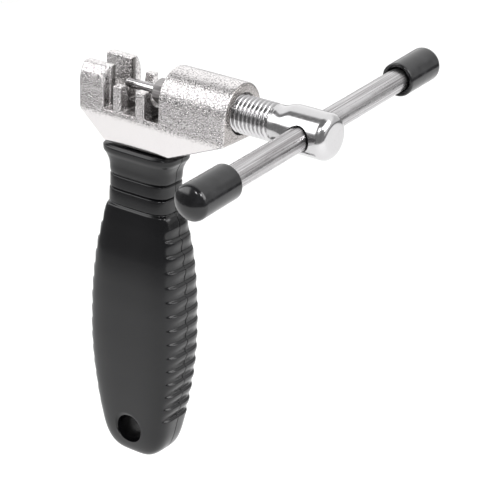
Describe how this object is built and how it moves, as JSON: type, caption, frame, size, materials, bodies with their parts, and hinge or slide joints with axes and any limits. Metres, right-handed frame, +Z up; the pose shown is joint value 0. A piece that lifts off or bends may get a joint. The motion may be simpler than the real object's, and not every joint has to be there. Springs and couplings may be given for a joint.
{
  "type": "bicycle chain tool",
  "caption": "Workshop chain tool: plated cast head with roller ribs on a contoured handle, threaded spindle with driving pin, and a sliding tommy bar with soft caps.",
  "frame": {"origin": "centre of the flat end face of the spindle's head", "axes": "+X along the spindle, out of its head; +Z up, away from the handle; +Y to the back"},
  "size_m": [0.0745, 0.1086, 0.1157],
  "materials": {
    "cast_plated": "nickel plate over a sand-blasted casting, fine grain",
    "handle_plastic": "satin black moulded plastic",
    "spindle_steel": "turned, threaded and bright plated steel",
    "holder_steel": "milled steel hexagon",
    "pin_steel": "hardened and ground steel",
    "bar_steel": "drawn and plated bar with lengthwise lines",
    "cap_vinyl": "glossy black dipped vinyl"
  },
  "bodies": {
    "frame": {"tool_body": "cast_plated", "handle_front": "handle_plastic", "handle_back": "handle_plastic"},
    "pin_carriage": {"drive_pin": "pin_steel"},
    "screw": {"spindle": "spindle_steel", "pin_holder": "holder_steel"},
    "bar": {"tommy_bar": "bar_steel", "bar_cap_near": "cap_vinyl", "bar_cap_far": "cap_vinyl"}
  },
  "joints": [
    {"name": "feed_slide", "type": "slide", "parent": "frame", "child": "pin_carriage", "axis": [1, 0, 0], "range_m": [-0.00781, 0.01201]},
    {"name": "spindle_turn", "type": "hinge", "parent": "pin_carriage", "child": "screw", "pos_m": [-0.02, 0, 0], "axis": [1, 0, 0], "range_deg": [-2246.4, 3456]},
    {"name": "bar_slide", "type": "slide", "parent": "screw", "child": "bar", "axis": [0, 0.998, 0.0628], "range_m": [-0.0348, 0.0284]}
  ],
  "couplings": [
    {"joint": "feed_slide", "follows": "spindle_turn", "m_per_rad": 0.00019894}
  ]
}
